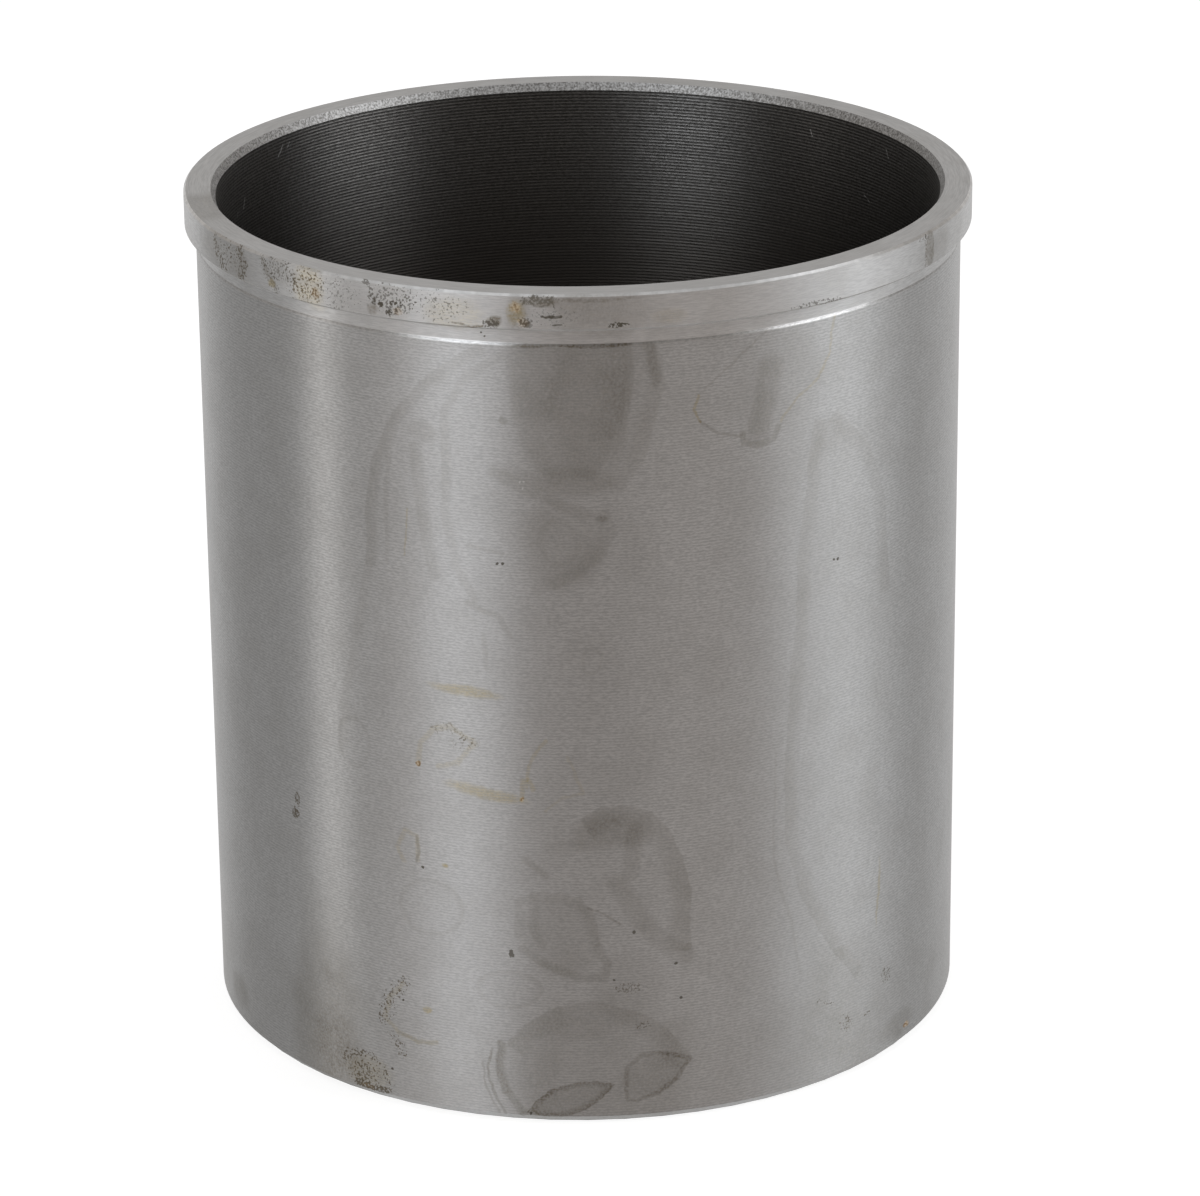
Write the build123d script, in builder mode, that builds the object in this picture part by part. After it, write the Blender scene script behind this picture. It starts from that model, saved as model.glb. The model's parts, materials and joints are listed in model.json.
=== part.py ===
"""Dry cylinder liner with a top flange, for a water-cooled piston engine.

One sleeve of grey cast iron, turned all over and ground outside. It is pressed into the engine block from above
until the flange sits in its counterbore. The bore is rough bored with stock left for the final bore and hone.
The origin is the middle of the lower end, on the bore's axis, and +Z points up to the flange. Millimetres.
"""
import os
from build123d import *

# Main sizes: the wall and the flange's overhang are measured along the radius
overall_length = 118.0
bore_diameter = 99.3
wall_thickness = 2.85
flange_overhang = 1.5
flange_thickness = 4.9

# Relief turned under the flange, where the grinding wheel runs out
relief_width = 2.5
relief_depth = 0.15
relief_ramp_height = 0.32
relief_corner_radius = 0.4

# Edges
mouth_chamfer_height = 1.1
mouth_chamfer_angle = 30.0
bore_foot_chamfer = 0.5
lead_in_chamfer = 1.0
flange_top_break = 0.3
flange_underside_break = 0.25

# Sizes that follow from the ones above
body_diameter = bore_diameter + 2 * wall_thickness
flange_diameter = body_diameter + 2 * flange_overhang
bore_radius = bore_diameter / 2
body_radius = body_diameter / 2
flange_radius = flange_diameter / 2
relief_radius = body_radius - relief_depth
seat_height = overall_length - flange_thickness
relief_foot_height = seat_height - relief_width


with BuildPart() as cylinder_liner:
    # Half of the section: x is the radius and y the height
    with BuildSketch(Plane.XZ) as half_section:
        with BuildLine():
            Polyline(
                (bore_radius, 0),
                (body_radius, 0),
                (body_radius, relief_foot_height),
                (relief_radius, relief_foot_height + relief_ramp_height),
                (relief_radius, seat_height),
                (flange_radius, seat_height),
                (flange_radius, overall_length),
                (bore_radius, overall_length),
                close=True,
            )
        make_face()

        # The corner between the relief and the flange's seat is round, so that the flange doesn't crack off
        relief_corner = half_section.vertices().sort_by_distance((relief_radius, seat_height, 0))[0]
        fillet(relief_corner, radius=relief_corner_radius)
    revolve(axis=Axis.Z)

    # Edge breaks on the flange's rim, above and below
    top_face = cylinder_liner.faces().filter_by(Plane.XY).sort_by(Axis.Z)[-1]
    chamfer(top_face.outer_wire().edges(), length=flange_top_break)

    seat_face = cylinder_liner.faces().filter_by(Plane.XY).sort_by(Axis.Z)[1]
    chamfer(seat_face.outer_wire().edges(), length=flange_underside_break)

    # Steep chamfer at the bore's mouth, which lets the piston rings in
    top_face = cylinder_liner.faces().filter_by(Plane.XY).sort_by(Axis.Z)[-1]
    bore_wall = cylinder_liner.faces().filter_by(GeomType.CYLINDER).sort_by(SortBy.RADIUS)[0]
    chamfer(
        top_face.inner_wires()[0].edges(),
        length=mouth_chamfer_height,
        angle=mouth_chamfer_angle,
        reference=bore_wall,
    )

    # Lead-in chamfer round the foot, and a small one inside it
    foot_face = cylinder_liner.faces().filter_by(Plane.XY).sort_by(Axis.Z)[0]
    chamfer(foot_face.outer_wire().edges(), length=lead_in_chamfer)

    foot_face = cylinder_liner.faces().filter_by(Plane.XY).sort_by(Axis.Z)[0]
    chamfer(foot_face.inner_wires()[0].edges(), length=bore_foot_chamfer)

cylinder_liner.part.label = "cylinder_liner"

os.makedirs("parts", exist_ok=True)
export_step(cylinder_liner.part, "parts/cylinder_liner.step")

volume = cylinder_liner.part.volume / 1000
print(f"cylinder_liner: body {body_diameter:.2f} mm, flange {flange_diameter:.2f} mm, volume {volume:.1f} cm3")
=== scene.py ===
# %% [markdown]
# # A flanged cylinder liner
#
# This lesson dresses one turned part: a thin sleeve of grey cast iron with a flange at its top.
# It is pressed into an engine block, and a piston runs in it. The shape is simple, so the
# likeness lies in the finishes: a ground outside with fine lines round it, a flange with rust and
# dried oil, a flat faced top and a dark bore with feed marks.
#
# The packed model is loaded first, because it fixes every size and place. Nothing here may leave
# its box.

# %% Load the packed part
import json
import math

import bmesh
import bpy
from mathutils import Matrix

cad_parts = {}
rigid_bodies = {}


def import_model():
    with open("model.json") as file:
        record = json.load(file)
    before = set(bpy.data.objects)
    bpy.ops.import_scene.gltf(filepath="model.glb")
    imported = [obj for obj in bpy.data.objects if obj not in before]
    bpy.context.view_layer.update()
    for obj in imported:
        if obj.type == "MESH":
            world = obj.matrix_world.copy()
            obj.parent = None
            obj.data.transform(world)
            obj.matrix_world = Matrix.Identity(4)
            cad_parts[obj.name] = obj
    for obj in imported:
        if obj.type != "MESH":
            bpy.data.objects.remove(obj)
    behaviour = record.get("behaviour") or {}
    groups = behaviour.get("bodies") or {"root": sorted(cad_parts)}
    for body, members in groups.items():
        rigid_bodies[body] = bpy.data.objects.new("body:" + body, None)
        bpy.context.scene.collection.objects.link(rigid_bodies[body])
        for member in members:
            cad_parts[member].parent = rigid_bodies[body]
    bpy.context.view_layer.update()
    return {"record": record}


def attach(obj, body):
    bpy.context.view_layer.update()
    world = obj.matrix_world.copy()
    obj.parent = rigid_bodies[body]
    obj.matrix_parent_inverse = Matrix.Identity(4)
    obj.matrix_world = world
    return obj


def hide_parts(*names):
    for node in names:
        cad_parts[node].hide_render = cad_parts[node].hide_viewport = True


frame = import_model()

# %% [markdown]
# ## Sizes
#
# The record lists the faces that mate with other parts, with their radii and heights. Reading
# them here keeps the looks in step with the solid. The small edges aren't in the record, so they
# are written again, in metres.

# %% Read the sizes
MM = 0.001
mounts = {mount["name"]: mount for mount in frame["record"]["mounts"]}

bore_radius = mounts["piston_bore"]["dims"]["r_mm"] * MM
body_radius = mounts["block_bore_fit"]["dims"]["r_mm"] * MM
flange_radius = mounts["flange_rim"]["dims"]["r_mm"] * MM
seat_height = mounts["flange_seat"]["pos_m"][2]
top_height = mounts["gasket_face"]["pos_m"][2]

relief_width = 2.5 * MM
relief_depth = 0.15 * MM
relief_ramp_height = 0.32 * MM
relief_corner = 0.4 * MM
ramp_wear = 0.1 * MM
mouth_chamfer_height = 1.1 * MM
mouth_chamfer_width = mouth_chamfer_height * math.tan(math.radians(30))
bore_foot_chamfer = 0.5 * MM
lead_in_chamfer = 1.0 * MM
flange_top_break = 0.3 * MM
flange_underside_break = 0.25 * MM

# The ground outside is dressed in three zones, which meet at these heights
zone_heights = (20 * MM, 65 * MM)
print("radii, mm:", [round(radius / MM, 2) for radius in (bore_radius, body_radius, flange_radius)])

# %% [markdown]
# ## Half of the section
#
# A lathe makes this part by moving a tool along a profile while the work turns. The mesh is made
# in the same way: a wire with the corners of half the section, then a spin. The corners start
# sharp. A bevel on vertices then cuts each chamfer and rounds the corner of the relief, as the
# tool's nose does.

# %% Draw the wire and cut its corners
liner_mesh = bmesh.new()


def corner(radius, height):
    """A corner of the half-section, on the side of the liner that faces +X."""
    return liner_mesh.verts.new((radius, 0, height))


bore_foot = corner(bore_radius, 0)
body_foot = corner(body_radius, 0)
lower_line, upper_line = [corner(body_radius, height) for height in zone_heights]
relief_foot = corner(body_radius, seat_height - relief_width)
relief_ramp = corner(body_radius - relief_depth, seat_height - relief_width + relief_ramp_height)
relief_root = corner(body_radius - relief_depth, seat_height)
flange_under = corner(flange_radius, seat_height)
flange_top = corner(flange_radius, top_height)
mouth_top = corner(bore_radius + mouth_chamfer_width, top_height)
mouth_foot = corner(bore_radius, top_height - mouth_chamfer_height)

section = [
    bore_foot, body_foot, lower_line, upper_line, relief_foot, relief_ramp, relief_root,
    flange_under, flange_top, mouth_top, mouth_foot,
]
for start, end in zip(section, section[1:]):
    liner_mesh.edges.new((start, end))
liner_mesh.edges.new((mouth_foot, bore_foot))


def cut_corner(vertex, size, segments=1):
    """Chamfers a corner of the wire, or rounds it with more segments."""
    bmesh.ops.bevel(
        liner_mesh, geom=[vertex], offset=size, offset_type="OFFSET",
        segments=segments, profile=0.5, affect="VERTICES", material=-1,
    )


cut_corner(bore_foot, bore_foot_chamfer)
cut_corner(body_foot, lead_in_chamfer)
cut_corner(relief_foot, ramp_wear, segments=3)
cut_corner(relief_ramp, ramp_wear, segments=3)
cut_corner(relief_root, relief_corner, segments=6)
cut_corner(flange_under, flange_underside_break)
cut_corner(flange_top, flange_top_break)
print("section corners:", len(liner_mesh.verts))

# %% [markdown]
# ## Feed marks in the bore
#
# A boring bar leaves a groove at each turn, a little under half a millimetre from the last. The
# grooves are real geometry, so that they catch the light at any angle and stay in the exported
# mesh. The one long edge of the bore is cut into short pieces, and every second point moves into
# the wall. Their depths differ a little, because the tool chatters. A sum of two waves gives that
# without any chance in it.

# %% Cut the grooves
feed = 0.47 * MM
groove_depth = 0.03 * MM
chatter = 0.2


def on_bore(vertex):
    return abs(vertex.co.x - bore_radius) < 1e-7


bore_edge = max(
    (edge for edge in liner_mesh.edges if all(on_bore(vertex) for vertex in edge.verts)),
    key=lambda edge: edge.calc_length(),
)
groove_count = int(bore_edge.calc_length() / feed)
groove_pitch = bore_edge.calc_length() / groove_count
bmesh.ops.subdivide_edges(liner_mesh, edges=[bore_edge], cuts=2 * groove_count - 1)

bore_line = [vertex for vertex in liner_mesh.verts if on_bore(vertex)]
bore_line.sort(key=lambda vertex: vertex.co.z)
for turn, vertex in enumerate(bore_line[1::2]):
    wander = math.sin(1.7 * turn) * math.sin(0.31 * turn)
    vertex.co.x += groove_depth * (1 + chatter * wander)
print("grooves:", groove_count)

# %% [markdown]
# ## Spin the section
#
# One full spin about Z turns the wire into the liner. The last ring is merged with the first, and
# the normals are recalculated so that every face points out of the metal. Edges that run round
# the liner stay sharp, because a lathe leaves crisp corners, and those along it are smooth, so
# that the round form shows no flats.

# %% Make the solid of revolution
spin_steps = 160
crisp_angle = math.radians(3.5)

bmesh.ops.spin(
    liner_mesh, geom=liner_mesh.verts[:] + liner_mesh.edges[:],
    cent=(0, 0, 0), axis=(0, 0, 1), angle=math.tau, steps=spin_steps, use_merge=True,
)
bmesh.ops.remove_doubles(liner_mesh, verts=liner_mesh.verts, dist=1e-6)
bmesh.ops.recalc_face_normals(liner_mesh, faces=liner_mesh.faces)
for face in liner_mesh.faces:
    face.smooth = True
for edge in liner_mesh.edges:
    edge.smooth = edge.calc_face_angle(0) < crisp_angle
print("faces:", len(liner_mesh.faces), "open edges:", sum(edge.is_boundary for edge in liner_mesh.edges))

# %% [markdown]
# ## Which finish goes where
#
# Each face of the section was cut by another tool, so each has its own finish. A face's place in
# the section tells which one it is: how far its middle is from the axis, how high it is, and
# which way it looks. The relief under the flange was turned with the flange, and only the body
# below it was ground. The ground body is split by height into three zones of the same metal,
# because one material can't hold all the marks that dried on it.

# %% Sort the faces by finish
finish_names = [
    "ground_lower", "ground_middle", "ground_upper",
    "turned_rim", "faced_end", "bored_wall", "mouth_chamfer",
]
LOWER, MIDDLE, UPPER, RIM, FACED, BORED, MOUTH = range(len(finish_names))
flat_enough = 0.95
groove_reach = 0.1 * MM


def finish_of(face):
    """The finish that the face's place in the section calls for."""
    middle = face.calc_center_median()
    radius = middle.xy.length
    if abs(face.normal.z) > flat_enough:
        return FACED
    if radius < bore_radius + groove_reach:
        return BORED
    if radius < bore_radius + mouth_chamfer_width:
        return MOUTH
    if middle.z > seat_height - relief_width + relief_ramp_height:
        return RIM
    zones_below = sum(middle.z > height for height in zone_heights)
    return (LOWER, MIDDLE, UPPER)[zones_below]


def object_from(name, mesh):
    """Puts a finished bmesh into the scene as an object."""
    data = bpy.data.meshes.new(name)
    mesh.to_mesh(data)
    mesh.free()
    made = bpy.data.objects.new(name, data)
    bpy.context.scene.collection.objects.link(made)
    return made


for face in liner_mesh.faces:
    face.material_index = finish_of(face)
liner = object_from("liner", liner_mesh)
for place, name in enumerate(finish_names):
    print(name, sum(polygon.material_index == place for polygon in liner.data.polygons))

# %% [markdown]
# ## Helpers for shader nodes
#
# Node trees are easier to read when each node is one line: its kind, its settings and what goes
# into it. An input is either a number or another node's output, and the helper sees which it is.

# %% Node helpers
def fill(tree, made, inputs):
    """Sets each named input to a number, or links it to another node's output."""
    for name, value in inputs.items():
        if isinstance(value, bpy.types.NodeSocket):
            tree.links.new(value, made.inputs[name])
        else:
            made.inputs[name].default_value = value


def node(tree, kind, inputs=None, **settings):
    """Adds a node, sets its properties and fills its inputs."""
    made = tree.nodes.new("ShaderNode" + kind)
    for name, value in settings.items():
        setattr(made, name, value)
    fill(tree, made, inputs or {})
    return made


def maths(tree, operation, *values):
    """The result of one Math node."""
    return node(tree, "Math", dict(enumerate(values)), operation=operation).outputs[0]


def smooth_step(tree, value, low, high, to_low=0.0, to_high=1.0):
    """A soft step between two values, up or down."""
    inputs = {"Value": value, "From Min": low, "From Max": high, "To Min": to_low, "To Max": to_high}
    return node(tree, "MapRange", inputs, interpolation_type="SMOOTHSTEP").outputs["Result"]


def blend_colour(tree, amount, below, above, mode="MIX"):
    """Lays one colour over another. A Mix node has its colours at 6 and 7, and its result at 2."""
    inputs = {0: amount, 6: below, 7: above}
    return node(tree, "Mix", inputs, data_type="RGBA", blend_type=mode).outputs[2]


def new_group(name, inputs, outputs):
    """An empty shader group with named sockets, and its two ends."""
    tree = bpy.data.node_groups.new(name, "ShaderNodeTree")
    for direction, sockets in (("INPUT", inputs), ("OUTPUT", outputs)):
        for socket, kind in sockets.items():
            tree.interface.new_socket(socket, in_out=direction, socket_type="NodeSocket" + kind)
    return tree, tree.nodes.new("NodeGroupInput").outputs, tree.nodes.new("NodeGroupOutput")


def use_group(tree, group, inputs=None):
    """Places a group in a tree and gives its outputs."""
    made = tree.nodes.new("ShaderNodeGroup")
    made.node_tree = group
    fill(tree, made, inputs or {})
    return made.outputs


def place_of(tree):
    """X, Y and Z of a point in the object's own space, in metres."""
    return node(tree, "SeparateXYZ", {0: node(tree, "TexCoord").outputs["Object"]}).outputs


def grey(level, warm=0.0):
    """A neutral colour, or one that leans to yellow."""
    return (level * (1 + warm), level, level * (1 - warm), 1.0)


print("helpers ready, Blender", bpy.app.version_string)

# %% [markdown]
# ## Unroll the liner
#
# Stains are easy to place on a flat sheet. This group unrolls the outside: millimetres round the
# body from the middle of the front, and millimetres up from the foot. The third number is always
# one, which later lets a single dot product move, turn and scale. Object coordinates are read, so
# nothing slides on export. Drops never dry to clean ovals, so two noises push the sheet about.
# Grit is a fine noise for specks, and patchy a broad one for uneven films.

# %% The unroll group
def space_noise(tree, size, detail, output="Fac"):
    """Noise in the liner's own space, with grains of about this size in millimetres."""
    space = node(tree, "TexCoord").outputs["Object"]
    inputs = {"Vector": space, "Scale": 1 / (size * MM), "Detail": detail}
    return node(tree, "TexNoise", inputs).outputs[output]


sheet_outputs = {"Sheet": "Vector", "Grit": "Float", "Patchy": "Float"}
unroll, _, unroll_end = new_group("unroll", {}, sheet_outputs)
here = place_of(unroll)
front = maths(unroll, "MULTIPLY", here["Y"], -1.0)
around = maths(unroll, "MULTIPLY", maths(unroll, "ARCTAN2", here["X"], front), body_radius / MM)
height = maths(unroll, "MULTIPLY", here["Z"], 1 / MM)
sheet = node(unroll, "CombineXYZ", {"X": around, "Y": height, "Z": 1.0}).outputs[0]
for size, push in ((8.0, 1.3), (1.1, 0.55)):
    noise = space_noise(unroll, size, 1.0, "Color")
    centred = node(unroll, "VectorMath", {0: noise, 1: (0.5, 0.5, 0.5)}, operation="SUBTRACT").outputs[0]
    pushed = node(unroll, "VectorMath", {0: centred, 1: (push, push, 0), 2: sheet}, operation="MULTIPLY_ADD")
    sheet = pushed.outputs[0]

grit = space_noise(unroll, 0.32, 2.0)
patchy = space_noise(unroll, 6.0, 2.0)
fill(unroll, unroll_end, {"Sheet": sheet, "Grit": grit, "Patchy": patchy})
print("groups:", [group.name for group in bpy.data.node_groups])

# %% [markdown]
# ## Tool lines
#
# A grinding wheel or a lathe tool leaves lines round the work. Noise that is stretched along them
# and squeezed across gives them, with no seam, because it is read in space and not on the flat
# sheet. Height plus radius is the way across on every face of a turned part: up a wall, outwards
# on an end. Two inputs set length and pitch, in millimetres. Over them lies an even wave, one
# crest for each turn of the work, because the tool moves on by its feed in that time.

# %% The tool lines group
line_inputs = dict.fromkeys(("Length", "Pitch", "Feed", "Start", "Wave"), "Float")
lines, lines_in, lines_end = new_group("tool lines", line_inputs, {"Lines": "Float"})
here = place_of(lines)
square = maths(lines, "MULTIPLY_ADD", here["X"], here["X"], maths(lines, "MULTIPLY", here["Y"], here["Y"]))
up_and_out = maths(lines, "ADD", here["Z"], maths(lines, "SQRT", square))
along = maths(lines, "DIVIDE", 1 / MM, lines_in["Length"])
across = maths(lines, "DIVIDE", 1 / MM, lines_in["Pitch"])
stretched = node(lines, "CombineXYZ", {
    "X": maths(lines, "MULTIPLY", here["X"], along),
    "Y": maths(lines, "MULTIPLY", here["Y"], along),
    "Z": maths(lines, "MULTIPLY", up_and_out, across),
}).outputs[0]
streak_inputs = {"Vector": stretched, "Scale": 1.0, "Detail": 2.0, "Roughness": 0.6}
streaks = node(lines, "TexNoise", streak_inputs).outputs["Fac"]
from_start = maths(lines, "MULTIPLY_ADD", up_and_out, 1 / MM, lines_in["Start"])
turns = maths(lines, "DIVIDE", from_start, lines_in["Feed"])
crests = maths(lines, "COSINE", maths(lines, "MULTIPLY", turns, math.tau))
fill(lines, lines_end, {"Lines": maths(lines, "MULTIPLY_ADD", crests, lines_in["Wave"], streaks)})
print("groups:", [group.name for group in bpy.data.node_groups])

# %% [markdown]
# ## Shapes of dried marks
#
# A thin film dims a patch, and a drop leaves a line at its edge, where the dirt gathers. Each
# mark has its own two axes. A dot product with the sheet gives the place along each of them, so
# that a patch becomes a circle of radius one. The line of a ring is sharp outside and fades
# inwards, as dried drops do. A leaf is two arcs that meet in points.

# %% Groups for patches, rings and leaves
mark_axes = {"Sheet": "Vector", "Across": "Vector", "Up": "Vector"}


def along_axes(tree, sockets):
    """The place along a mark's two axes."""
    sheet = sockets["Sheet"]
    axes = (sockets["Across"], sockets["Up"])
    products = [node(tree, "VectorMath", {0: sheet, 1: axis}, operation="DOT_PRODUCT") for axis in axes]
    return [product.outputs["Value"] for product in products]


def sum_of_squares(tree, x, y):
    return maths(tree, "MULTIPLY_ADD", x, x, maths(tree, "MULTIPLY", y, y))


def edge_line(tree, distance, sockets):
    """A line where the distance is 1, which ends outside it and within it."""
    outside = smooth_step(tree, distance, sockets["Outside"], 1.0)
    return maths(tree, "MULTIPLY", outside, smooth_step(tree, distance, sockets["Within"], 1.0))


patch, patch_in, patch_end = new_group("patch", mark_axes | {"Core": "Float"}, {"Inside": "Float"})
x, y = along_axes(patch, patch_in)
fill(patch, patch_end, {"Inside": smooth_step(patch, sum_of_squares(patch, x, y), 1.0, patch_in["Core"])})

rim_inputs = {"Outside": "Float", "Within": "Float"}
ring, ring_in, ring_end = new_group("ring", mark_axes | rim_inputs, {"Line": "Float"})
x, y = along_axes(ring, ring_in)
distance = maths(ring, "SQRT", sum_of_squares(ring, x, y))
fill(ring, ring_end, {"Line": edge_line(ring, distance, ring_in)})

leaf, leaf_in, leaf_end = new_group("leaf", mark_axes | rim_inputs, {"Inside": "Float", "Line": "Float"})
x, y = along_axes(leaf, leaf_in)
distance = maths(leaf, "MULTIPLY_ADD", x, x, maths(leaf, "ABSOLUTE", y))
inside = smooth_step(leaf, distance, leaf_in["Outside"], 1.0)
fill(leaf, leaf_end, {"Inside": inside, "Line": edge_line(leaf, distance, leaf_in)})
print("groups:", [group.name for group in bpy.data.node_groups])

# %% [markdown]
# A stroke is a straight piece of line with round ends, and more of them make a curve. A piece
# gives only its squared distance. The nearest piece counts, and the soft edge is worked out once
# for the whole curve, which saves render time. The second group has a soft right side, as the
# edge of a film has.

# %% Groups for strokes
def stroke_group(name, soft_inputs):
    """The squared distance from a straight piece of line, which may have one soft side."""
    inputs = mark_axes | {"Half": "Float"} | soft_inputs
    tree, sockets, end = new_group(name, inputs, {"Distance": "Float"})
    along, aside = along_axes(tree, sockets)
    past_end = maths(tree, "SUBTRACT", maths(tree, "ABSOLUTE", along), sockets["Half"])
    beyond = maths(tree, "MAXIMUM", past_end, 0.0)
    if soft_inputs:
        aside = maths(tree, "MAXIMUM", aside, maths(tree, "MULTIPLY", aside, sockets["Right"]))
    fill(tree, end, {"Distance": sum_of_squares(tree, beyond, aside)})
    return tree


stroke = stroke_group("stroke", {})
soft_stroke = stroke_group("soft stroke", {"Right": "Float"})
print("groups:", [group.name for group in bpy.data.node_groups])

# %% [markdown]
# ## What the marks are made of
#
# Five things lie on the iron. Film is a thin grey-brown skin that only dims it, and the same kind
# lays the broad painted shade on the lower sides of the body. Oil is a yellow varnish. Rust is
# orange to brown and isn't metal any more. Soot stands for black dirt and pits, and also lays a
# thin line of painted shade under the rim. Bare is for scratches that shine. One group lays them
# over a finish in that order. The film settles in the tool lines, so it is as grainy as they are.

# %% The dried-on group, which also lays painted shade
# The grey-brown of dried film, also the colour of the broad painted shade on the lower sides
film_and_shade_tint = (0.375, 0.335, 0.275, 1)
oil_tint = (0.80, 0.66, 0.33, 1)
pale_rust = (0.40, 0.27, 0.13, 1)
dark_rust = (0.17, 0.11, 0.055, 1)
# The black of dirt and pits, also used for the painted shade line under the rim
soot_and_shade_tint = (0.060, 0.050, 0.036, 1)
kinds = ("FilmAndShade", "Oil", "Rust", "SootAndShade", "Bare")

dirt_and_shade_inputs = {"Colour": "Color"} | dict.fromkeys(("Roughness", "Lines", "Grit", "Patchy") + kinds, "Float")
dirt_and_shade_outputs = {"Colour": "Color", "Roughness": "Float", "Metallic": "Float"}
dried_on_and_shade, dirt_and_shade_in, dirt_and_shade_end = new_group("dried on", dirt_and_shade_inputs, dirt_and_shade_outputs)

half_lines = maths(dried_on_and_shade, "MULTIPLY", dirt_and_shade_in["Lines"], 0.5)
grain = maths(dried_on_and_shade, "MULTIPLY_ADD", dirt_and_shade_in["Grit"], 0.5, half_lines)
grainy = smooth_step(dried_on_and_shade, grain, 0.34, 0.66, 0.55, 1.45)
uneven = smooth_step(dried_on_and_shade, dirt_and_shade_in["Patchy"], 0.3, 0.7, 0.85, 1.15)
film_and_shade = maths(dried_on_and_shade, "MULTIPLY", dirt_and_shade_in["FilmAndShade"], maths(dried_on_and_shade, "MULTIPLY", grainy, uneven))
colour = blend_colour(dried_on_and_shade, film_and_shade, dirt_and_shade_in["Colour"], film_and_shade_tint, "MULTIPLY")
oil = maths(dried_on_and_shade, "MULTIPLY", dirt_and_shade_in["Oil"], grainy)
colour = blend_colour(dried_on_and_shade, oil, colour, oil_tint, "MULTIPLY")

frayed = maths(dried_on_and_shade, "ADD", dirt_and_shade_in["Rust"], maths(dried_on_and_shade, "SUBTRACT", dirt_and_shade_in["Grit"], 0.5))
rust = smooth_step(dried_on_and_shade, frayed, 0.25, 0.75)
rust_tint = blend_colour(dried_on_and_shade, smooth_step(dried_on_and_shade, dirt_and_shade_in["Grit"], 0.42, 0.62), pale_rust, dark_rust)
colour = blend_colour(dried_on_and_shade, rust, colour, rust_tint)
colour = blend_colour(dried_on_and_shade, dirt_and_shade_in["SootAndShade"], colour, soot_and_shade_tint)
colour = blend_colour(dried_on_and_shade, dirt_and_shade_in["Bare"], colour, grey(0.85))

roughness = maths(dried_on_and_shade, "MULTIPLY_ADD", film_and_shade, 0.08, dirt_and_shade_in["Roughness"])
roughness = maths(dried_on_and_shade, "MULTIPLY_ADD", rust, 0.35, roughness)
roughness = maths(dried_on_and_shade, "MULTIPLY_ADD", dirt_and_shade_in["SootAndShade"], 0.25, roughness)
not_metal = maths(dried_on_and_shade, "MAXIMUM", rust, dirt_and_shade_in["SootAndShade"])
metallic = smooth_step(dried_on_and_shade, not_metal, 0.0, 0.9, 1.0, 0.1)
fill(dried_on_and_shade, dirt_and_shade_end, {"Colour": colour, "Roughness": roughness, "Metallic": metallic})
print("groups:", [group.name for group in bpy.data.node_groups])

# %% [markdown]
# ## Writing marks one by one
#
# A mark is then one line: what it is made of, where it is, how large, and how strong. Places and
# sizes are in millimetres on the unrolled sheet and turns are in degrees, so a mark can be
# measured off and put down. Each line adds to the total of its kind. A cover breaks a mark into
# specks: more of the grit shows the deeper it is inside.

# %% Marks on one material
def axis(direction, length, origin):
    """An axis that counts lengths from an origin on the sheet, for a dot product with the sheet."""
    x, y = direction[0] / length, direction[1] / length
    return (x, y, -x * origin[0] - y * origin[1])


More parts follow.
